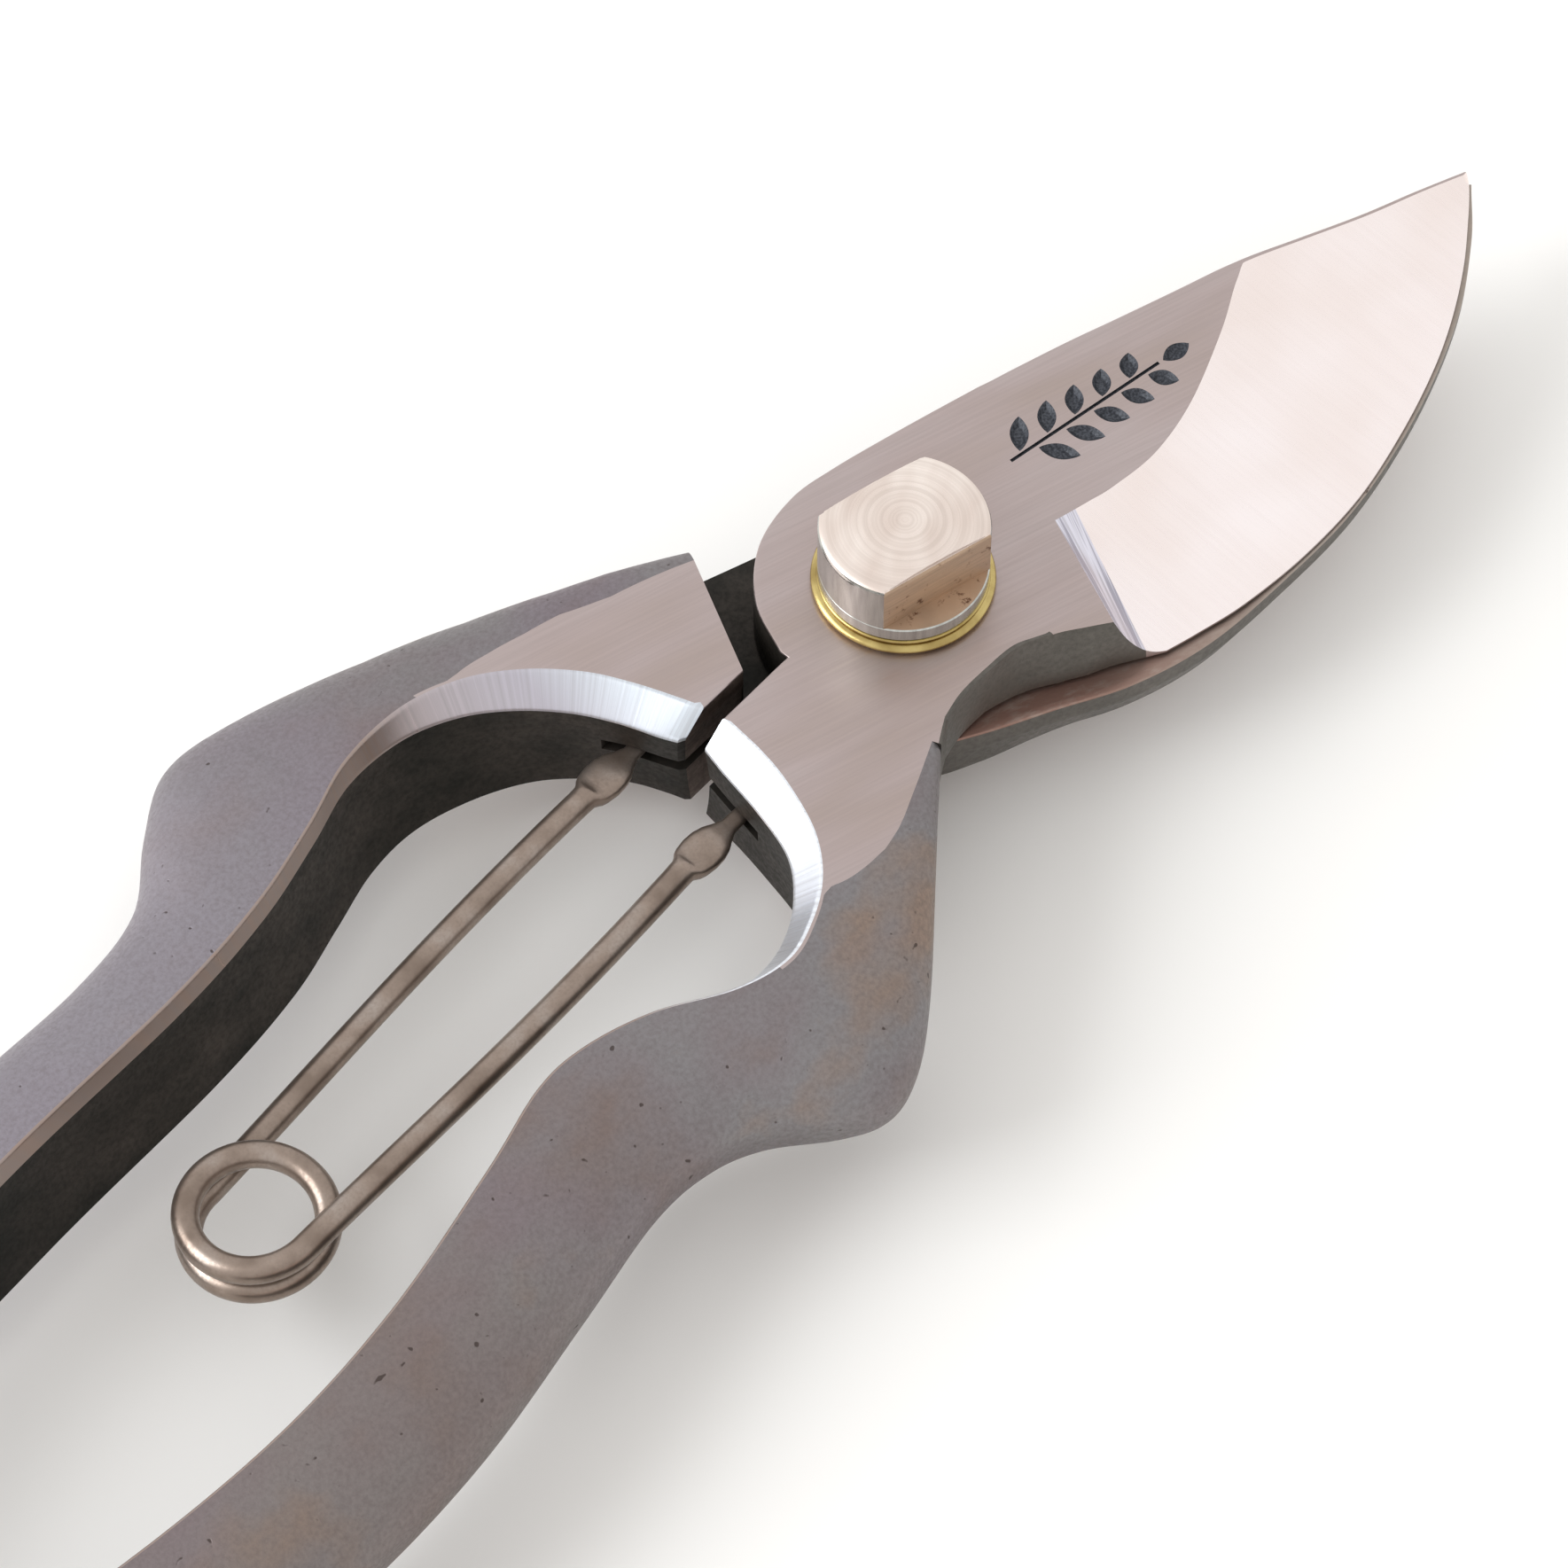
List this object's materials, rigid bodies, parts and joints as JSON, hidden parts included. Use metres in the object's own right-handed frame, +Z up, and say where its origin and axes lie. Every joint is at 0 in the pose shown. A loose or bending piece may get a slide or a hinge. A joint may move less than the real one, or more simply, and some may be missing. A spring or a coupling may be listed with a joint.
{
  "type": "sprung bypass flower snips",
  "caption": "Hand-forged bypass snips for cut flowers: a bevelled blade crosses a hooked counter blade on one bolt, opened by a wire spring between the handles.",
  "frame": {"origin": "on the bolt's axis at its lower end, flush with the underside of the nut, the lowest point of the snips", "axes": "+X from the pivot towards the blade tip, +Z up along the bolt towards its head, +Y towards the handle of the hook half"},
  "size_m": [0.2, 0.0634, 0.0254],
  "materials": {
    "forged_steel": "forged and hand-ground carbon steel, warm grey flats, brown-grey handles",
    "bolt_steel": "turned steel",
    "brass": "dull brass",
    "spring_wire": "tempered spring wire, straw brown"
  },
  "bodies": {
    "hook_side": {"hook_half": "forged_steel", "pivot_bolt": "bolt_steel", "head_shim": "bolt_steel", "brass_washer": "brass", "lock_washer": "bolt_steel", "pivot_nut": "bolt_steel", "catch_rivet": "bolt_steel", "catch_washer": "brass"},
    "blade_side": {"blade_half": "forged_steel", "catch_stud": "bolt_steel"},
    "spring_hook_part": {"spring_hook_leg": "spring_wire"},
    "spring_blade_part": {"spring_blade_leg": "spring_wire"},
    "catch": {"catch_lever": "bolt_steel"}
  },
  "joints": [
    {"name": "main_pivot", "type": "hinge", "parent": "hook_side", "child": "blade_side", "pos_m": [0, 0, 0.0109], "axis": [0, 0, 1], "range_deg": [0, 28], "stiffness_Nm_per_rad": 0.6, "springref_deg": 35.52},
    {"name": "spring_seat", "type": "hinge", "parent": "hook_side", "child": "spring_hook_part", "pos_m": [-0.0236, 0.0082, 0.01075], "axis": [0, 0, 1], "range_deg": [0, 16]},
    {"name": "spring_coil", "type": "hinge", "parent": "spring_hook_part", "child": "spring_blade_part", "pos_m": [-0.0736, 0.0016, 0.01075], "axis": [0, 0, 1], "range_deg": [-14, 0]},
    {"name": "catch_pivot", "type": "hinge", "parent": "hook_side", "child": "catch", "pos_m": [-0.1245, 0.01469, 0.0175], "axis": [0, 0, 1], "range_deg": [-102, 0]}
  ],
  "couplings": [
    {"joint": "spring_seat", "follows": "main_pivot", "ratio": 0.5389},
    {"joint": "spring_coil", "follows": "main_pivot", "ratio": -0.4636}
  ]
}
